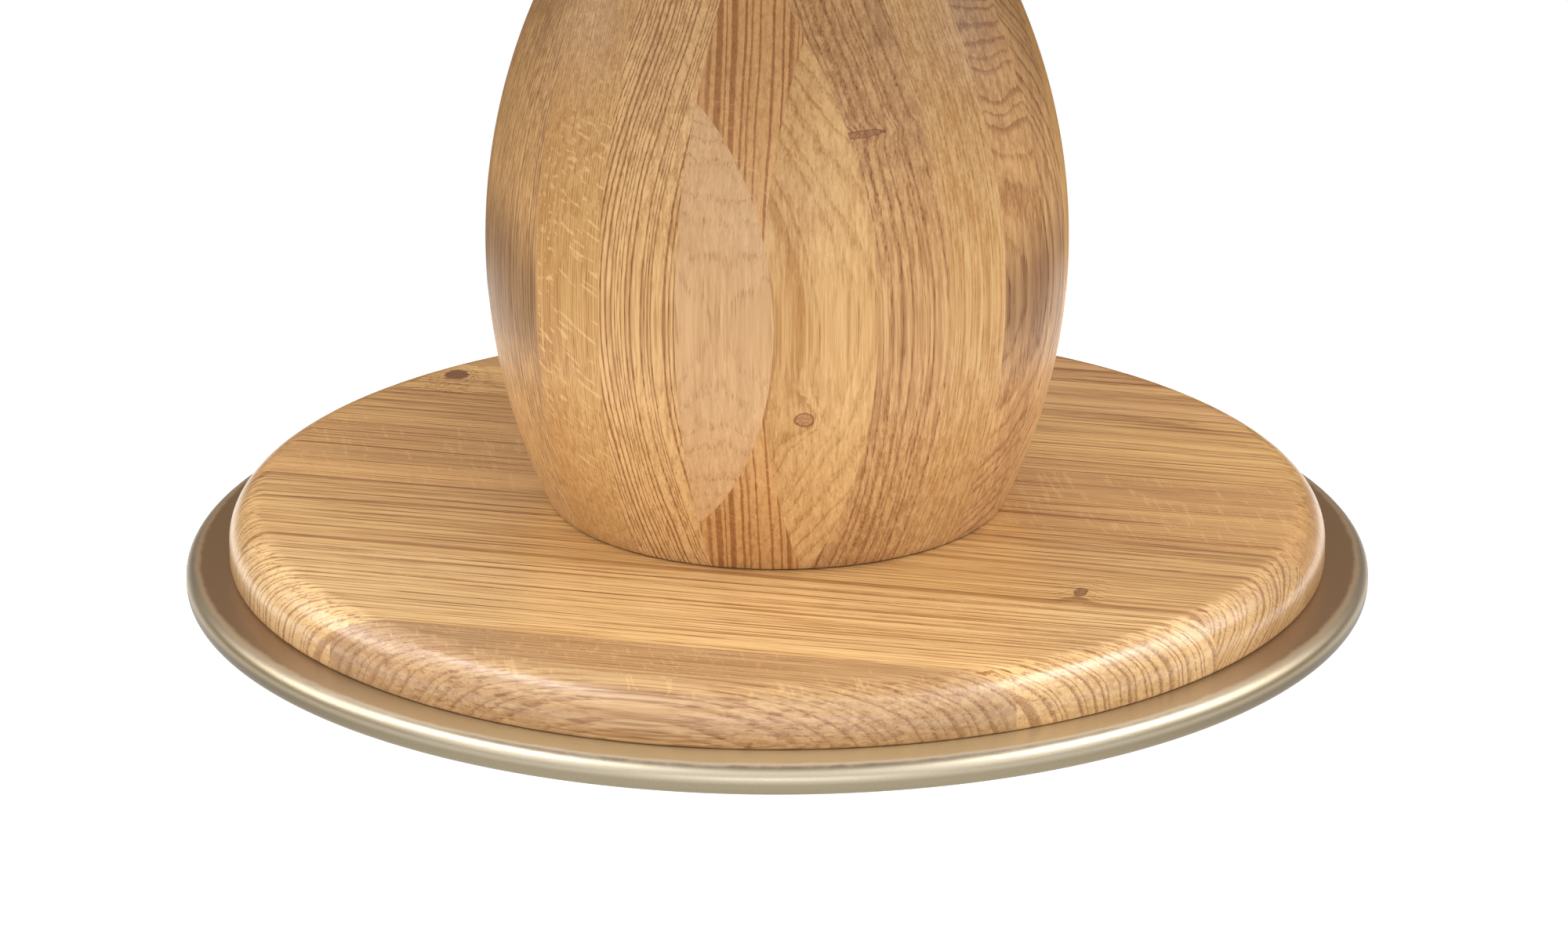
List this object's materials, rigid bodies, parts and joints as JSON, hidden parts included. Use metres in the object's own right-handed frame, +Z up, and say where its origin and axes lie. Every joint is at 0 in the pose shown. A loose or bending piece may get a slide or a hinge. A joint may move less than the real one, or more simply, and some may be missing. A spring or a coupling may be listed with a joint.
{
  "type": "round pedestal table",
  "caption": "Round oak pedestal table: bullnosed top on a turned, laminated barrel column, with a round oak foot on a metal ring and levelling feet.",
  "frame": {"origin": "on the floor, on the column's axis, under the levelling pads", "axes": "+Z up along the column, -Y towards the front, +X to the right seen from the front"},
  "size_m": [1.2, 1.2, 0.75],
  "materials": {
    "base_oak": "satin lacquered oak, staves 110 mm wide",
    "column_oak": "satin lacquered oak, turned from 41 mm layers",
    "top_oak": "satin lacquered oak, staves 150 mm wide",
    "champagne_metal": "champagne metallic lacquer, satin",
    "zinc_steel": "zinc plated",
    "black_steel": "black powder coat, matt",
    "beech": "unfinished beech",
    "pad_plastic": "moulded nylon, matt"
  },
  "bodies": {
    "root": {"base_ring": "champagne_metal", "base_board_1": "base_oak", "base_board_2": "base_oak", "base_board_3": "base_oak", "base_board_4": "base_oak", "base_board_5": "base_oak", "base_board_6": "base_oak", "column_layer_1": "column_oak", "column_layer_2": "column_oak", "column_layer_3": "column_oak", "column_layer_4": "column_oak", "column_layer_5": "column_oak", "column_layer_6": "column_oak", "column_layer_7": "column_oak", "column_layer_8": "column_oak", "column_layer_9": "column_oak", "bottom_plate": "zinc_steel", "tie_rod": "zinc_steel", "bottom_nut": "zinc_steel", "dowel_1": "beech", "dowel_2": "beech", "top_plate": "black_steel", "top_washer": "zinc_steel", "top_nut": "zinc_steel", "tabletop_board_1": "top_oak", "tabletop_board_2": "top_oak", "tabletop_board_3": "top_oak", "tabletop_board_4": "top_oak", "tabletop_board_5": "top_oak", "tabletop_board_6": "top_oak", "tabletop_board_7": "top_oak", "tabletop_board_8": "top_oak", "tabletop_board_9": "top_oak", "batten_1": "black_steel", "batten_2": "black_steel", "ring_screw_1": "zinc_steel", "ring_screw_2": "zinc_steel", "ring_screw_3": "zinc_steel", "ring_screw_4": "zinc_steel", "ring_screw_5": "zinc_steel", "ring_screw_6": "zinc_steel", "tabletop_screw_1": "zinc_steel", "tabletop_screw_2": "zinc_steel", "tabletop_screw_3": "zinc_steel", "tabletop_screw_4": "zinc_steel", "tabletop_screw_5": "zinc_steel", "tabletop_screw_6": "zinc_steel", "batten_screw_1": "zinc_steel", "batten_screw_2": "zinc_steel", "batten_screw_3": "zinc_steel", "batten_screw_4": "zinc_steel"},
    "pad_1": {"foot_pad_1": "pad_plastic"},
    "pad_2": {"foot_pad_2": "pad_plastic"},
    "pad_3": {"foot_pad_3": "pad_plastic"},
    "pad_4": {"foot_pad_4": "pad_plastic"},
    "stud_1": {"foot_stud_1": "zinc_steel"},
    "stud_2": {"foot_stud_2": "zinc_steel"},
    "stud_3": {"foot_stud_3": "zinc_steel"},
    "stud_4": {"foot_stud_4": "zinc_steel"}
  },
  "joints": [
    {"name": "foot_1_extend", "type": "slide", "parent": "root", "child": "pad_1", "axis": [0, 0, -1], "range_m": [0, 0.0075]},
    {"name": "foot_1_turn", "type": "hinge", "parent": "pad_1", "child": "stud_1", "pos_m": [0.19412, 0.23134, 0], "axis": [0, 0, -1], "range_deg": [0, 2160]},
    {"name": "foot_2_extend", "type": "slide", "parent": "root", "child": "pad_2", "axis": [0, 0, -1], "range_m": [0, 0.0075]},
    {"name": "foot_2_turn", "type": "hinge", "parent": "pad_2", "child": "stud_2", "pos_m": [-0.23134, 0.19412, 0], "axis": [0, 0, -1], "range_deg": [0, 2160]},
    {"name": "foot_3_extend", "type": "slide", "parent": "root", "child": "pad_3", "axis": [0, 0, -1], "range_m": [0, 0.0075]},
    {"name": "foot_3_turn", "type": "hinge", "parent": "pad_3", "child": "stud_3", "pos_m": [-0.19412, -0.23134, 0], "axis": [0, 0, -1], "range_deg": [0, 2160]},
    {"name": "foot_4_extend", "type": "slide", "parent": "root", "child": "pad_4", "axis": [0, 0, -1], "range_m": [0, 0.0075]},
    {"name": "foot_4_turn", "type": "hinge", "parent": "pad_4", "child": "stud_4", "pos_m": [0.23134, -0.19412, 0], "axis": [0, 0, -1], "range_deg": [0, 2160]}
  ],
  "couplings": [
    {"joint": "foot_1_extend", "follows": "foot_1_turn", "m_per_rad": 0.00019894},
    {"joint": "foot_2_extend", "follows": "foot_2_turn", "m_per_rad": 0.00019894},
    {"joint": "foot_3_extend", "follows": "foot_3_turn", "m_per_rad": 0.00019894},
    {"joint": "foot_4_extend", "follows": "foot_4_turn", "m_per_rad": 0.00019894}
  ]
}
